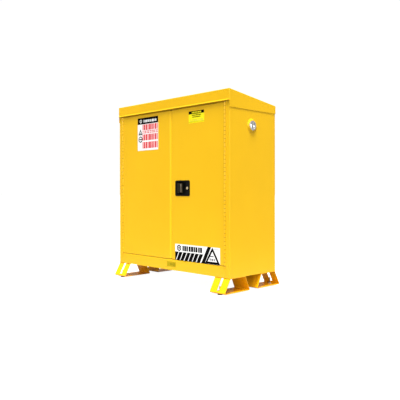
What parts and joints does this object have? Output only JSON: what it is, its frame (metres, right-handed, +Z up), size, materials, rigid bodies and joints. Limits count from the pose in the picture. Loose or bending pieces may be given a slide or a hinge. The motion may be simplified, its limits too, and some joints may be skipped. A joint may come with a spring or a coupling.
{
  "type": "two-door outdoor safety cabinet",
  "caption": "Yellow sheet-steel safety cabinet for flammable liquids, with hinged double-wall doors, a sloped rain roof, wall vents and bolted levelling feet.",
  "frame": {"origin": "on the floor under the middle of the cabinet", "axes": "+Z up, the doors face -Y, and +X is to the right of a person who looks at the doors"},
  "size_m": [1.1128, 0.535, 1.2408],
  "materials": {
    "body_paint": "semi-gloss yellow powder coat",
    "door_paint": "semi-gloss yellow powder coat",
    "inner_paint": "yellow powder coat",
    "hinge_paint": "yellow powder coat over a steel piano hinge",
    "foot_paint": "glossy yellow powder coat",
    "zinc": "zinc plated steel",
    "steel": "bright steel",
    "polished": "polished plated cap",
    "brass": "plain brass",
    "black_plastic": "black moulded plate",
    "olive_plastic": "dark moulded pull",
    "label_white": "vinyl label",
    "label_yellow": "vinyl label",
    "plate_olive": "small printed plate"
  },
  "bodies": {
    "cabinet": {"shell_right": "body_paint", "shell_left": "body_paint", "header": "body_paint", "sill": "body_paint", "back_panel": "body_paint", "top_panel": "body_paint", "bottom_pan": "body_paint", "liner_right": "inner_paint", "liner_left": "inner_paint", "liner_back": "inner_paint", "liner_top": "inner_paint", "spill_tray": "inner_paint", "floor_channels": "inner_paint", "shelf": "inner_paint", "shelf_hangers": "zinc", "earth_stud": "brass", "approval_plate": "plate_olive", "roof_cap": "body_paint", "roof_supports": "inner_paint", "roof_screws": "zinc", "vent_collar_right": "body_paint", "vent_collar_left": "body_paint", "flame_screen_right": "steel", "flame_screen_left": "steel", "hinge_right_frame_leaf": "hinge_paint", "hinge_left_frame_leaf": "hinge_paint", "hinge_right_pin": "steel", "hinge_left_pin": "steel", "foot_front_right": "foot_paint", "foot_front_left": "foot_paint", "foot_rear_right": "foot_paint", "foot_rear_left": "foot_paint", "leveller_nuts": "zinc", "foot_bolts": "zinc"},
    "left_door": {"door_left_outer": "door_paint", "door_left_inner": "inner_paint", "door_left_astragal": "door_paint", "door_left_label": "label_white", "hinge_left_door_leaf": "hinge_paint"},
    "right_door": {"door_right_outer": "door_paint", "door_right_inner": "inner_paint", "door_right_label_upper": "label_yellow", "door_right_label_lower": "label_white", "hinge_right_door_leaf": "hinge_paint", "latch_cup": "black_plastic", "paddle_pin": "steel", "cam_post": "steel", "rod_guides": "steel"},
    "pull": {"paddle": "olive_plastic"},
    "lock": {"lock_cylinder": "brass"},
    "cam": {"latch_cam": "steel"},
    "top_rod": {"latch_rod_top": "steel"},
    "bottom_rod": {"latch_rod_bottom": "steel"},
    "right_vent_cap": {"vent_cap_right": "polished"},
    "left_vent_cap": {"vent_cap_left": "polished"},
    "leveller_fr": {"leveller_front_right": "zinc"},
    "leveller_fl": {"leveller_front_left": "zinc"},
    "leveller_rr": {"leveller_rear_right": "zinc"},
    "leveller_rl": {"leveller_rear_left": "zinc"}
  },
  "joints": [
    {"name": "left_door_swing", "type": "hinge", "parent": "cabinet", "child": "left_door", "pos_m": [-0.506, -0.2225, 0.668], "axis": [0, 0, -1], "range_deg": [0, 160]},
    {"name": "right_door_swing", "type": "hinge", "parent": "cabinet", "child": "right_door", "pos_m": [0.506, -0.2225, 0.668], "axis": [0, 0, 1], "range_deg": [0, 160]},
    {"name": "paddle_pull", "type": "hinge", "parent": "right_door", "child": "pull", "pos_m": [0.088, -0.218, 0.644], "axis": [0, 0, -1], "range_deg": [0, 30]},
    {"name": "cam_turn", "type": "hinge", "parent": "right_door", "child": "cam", "pos_m": [0.1335, -0.1887, 0.644], "axis": [0, -1, 0], "range_deg": [0, 30.5]},
    {"name": "top_rod_slide", "type": "slide", "parent": "right_door", "child": "top_rod", "axis": [0, 0, -1], "range_m": [0, 0.0125], "stiffness_N_per_m": 150},
    {"name": "bottom_rod_slide", "type": "slide", "parent": "right_door", "child": "bottom_rod", "axis": [0, 0, 1], "range_m": [0, 0.0127]},
    {"name": "lock_turn", "type": "hinge", "parent": "right_door", "child": "lock", "pos_m": [0.18, -0.2225, 0.644], "axis": [0, 1, 0], "range_deg": [0, 90]},
    {"name": "right_vent_cap_pull", "type": "slide", "parent": "cabinet", "child": "right_vent_cap", "axis": [1, 0, 0], "range_m": [0, 0.03]},
    {"name": "left_vent_cap_pull", "type": "slide", "parent": "cabinet", "child": "left_vent_cap", "axis": [-1, 0, 0], "range_m": [0, 0.03]},
    {"name": "leveller_front_right_screw", "type": "slide", "parent": "cabinet", "child": "leveller_fr", "axis": [0, 0, -1], "range_m": [0, 0.015]},
    {"name": "leveller_front_left_screw", "type": "slide", "parent": "cabinet", "child": "leveller_fl", "axis": [0, 0, -1], "range_m": [0, 0.015]},
    {"name": "leveller_rear_right_screw", "type": "slide", "parent": "cabinet", "child": "leveller_rr", "axis": [0, 0, -1], "range_m": [0, 0.015]},
    {"name": "leveller_rear_left_screw", "type": "slide", "parent": "cabinet", "child": "leveller_rl", "axis": [0, 0, -1], "range_m": [0, 0.015]}
  ],
  "couplings": [
    {"joint": "paddle_pull", "follows": "top_rod_slide", "rad_per_m": 41.841},
    {"joint": "cam_turn", "follows": "top_rod_slide", "rad_per_m": 41.841},
    {"joint": "bottom_rod_slide", "follows": "top_rod_slide", "ratio": 1}
  ]
}
